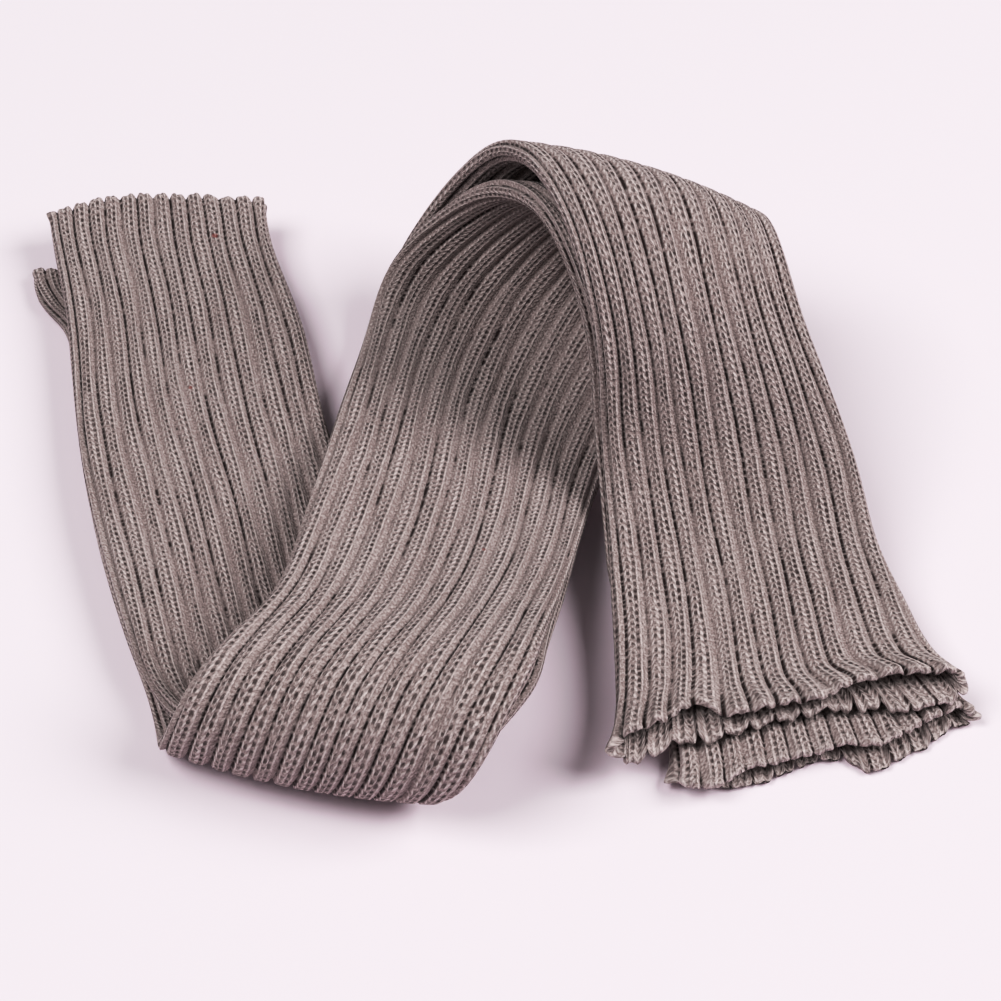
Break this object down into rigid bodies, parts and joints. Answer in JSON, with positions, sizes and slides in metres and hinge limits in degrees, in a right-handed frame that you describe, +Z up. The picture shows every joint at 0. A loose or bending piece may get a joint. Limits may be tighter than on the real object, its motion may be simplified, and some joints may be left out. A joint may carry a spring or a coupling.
{
  "type": "pair of footless thigh-high rib-knit socks (leg warmers)",
  "caption": "Footless thigh-high socks in wide rib knit with ruffled open ends, stacked flat and laid in an accordion with one tight fold and one open arch.",
  "frame": {"origin": "centre of the bounding box's bottom face, on the surface that the socks lie on", "axes": "+Z up; +X to the right as the picture shows them; +Y away from the viewer, toward the far ends and the arch"},
  "size_m": [0.315, 0.2571, 0.0922],
  "materials": {
    "knit_upper": "matte heathered taupe rib knit",
    "knit_lower": "matte heathered taupe rib knit"
  },
  "bodies": {
    "root": {"sock_upper": "knit_upper", "sock_lower": "knit_lower"}
  },
  "joints": []
}
